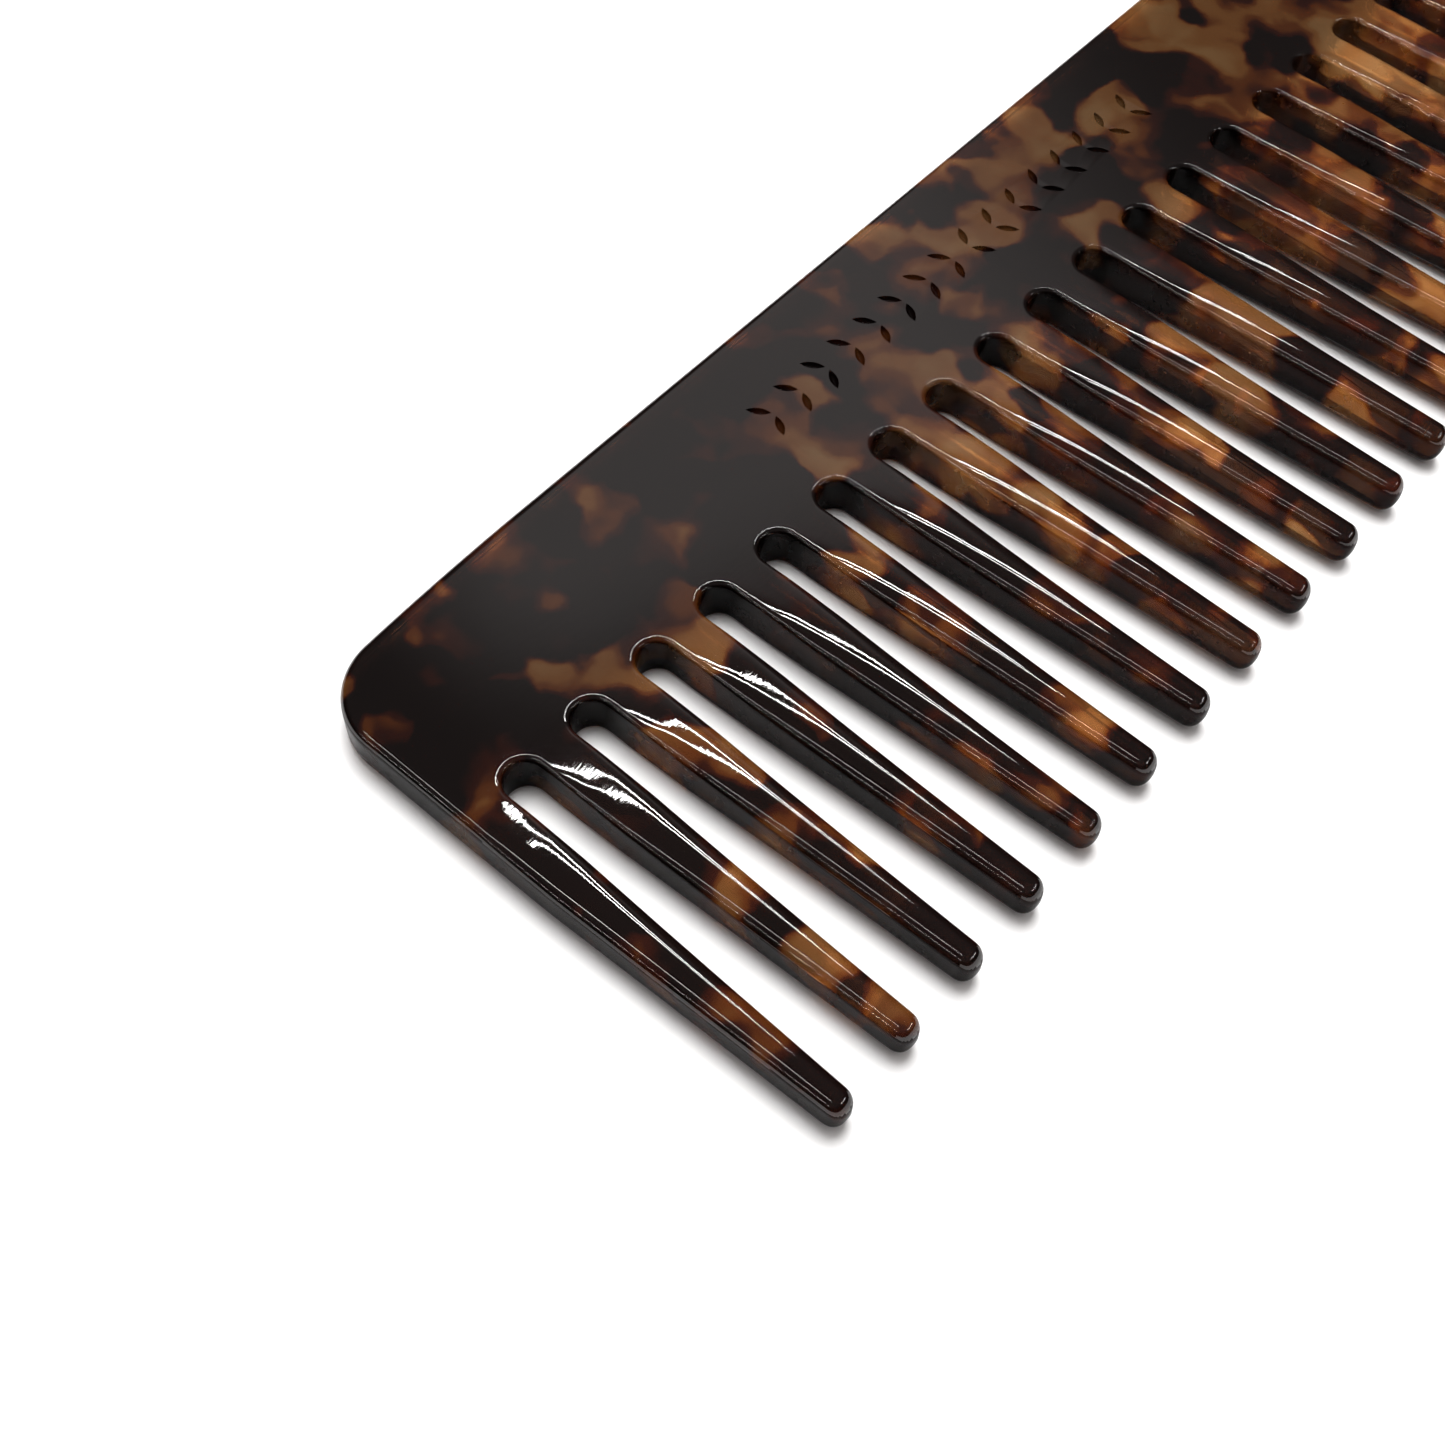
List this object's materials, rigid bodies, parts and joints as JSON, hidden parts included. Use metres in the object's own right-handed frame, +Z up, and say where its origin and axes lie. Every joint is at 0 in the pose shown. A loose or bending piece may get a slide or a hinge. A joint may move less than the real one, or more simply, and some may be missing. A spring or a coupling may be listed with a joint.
{
  "type": "hair comb",
  "caption": "Wide-tooth detangling hair comb in tortoiseshell acetate, with a deep smooth spine, rounded corners and round-tipped teeth.",
  "frame": {"origin": "under the middle of the comb, on the plane it lies on", "axes": "+X along the comb, +Y from the tooth tips to the smooth back edge, +Z up out of the face it lies on"},
  "size_m": [0.1466, 0.054, 0.0042],
  "materials": {
    "tortoiseshell_acetate": "polished cellulose acetate, dark brown with amber clouds"
  },
  "bodies": {
    "root": {"spine": "tortoiseshell_acetate", "end_tooth_left": "tortoiseshell_acetate", "tooth_02": "tortoiseshell_acetate", "tooth_03": "tortoiseshell_acetate", "tooth_04": "tortoiseshell_acetate", "tooth_05": "tortoiseshell_acetate", "tooth_06": "tortoiseshell_acetate", "tooth_07": "tortoiseshell_acetate", "tooth_08": "tortoiseshell_acetate", "tooth_09": "tortoiseshell_acetate", "tooth_10": "tortoiseshell_acetate", "tooth_11": "tortoiseshell_acetate", "tooth_12": "tortoiseshell_acetate", "tooth_13": "tortoiseshell_acetate", "tooth_14": "tortoiseshell_acetate", "tooth_15": "tortoiseshell_acetate", "tooth_16": "tortoiseshell_acetate", "tooth_17": "tortoiseshell_acetate", "tooth_18": "tortoiseshell_acetate", "tooth_19": "tortoiseshell_acetate", "end_tooth_right": "tortoiseshell_acetate"}
  },
  "joints": []
}
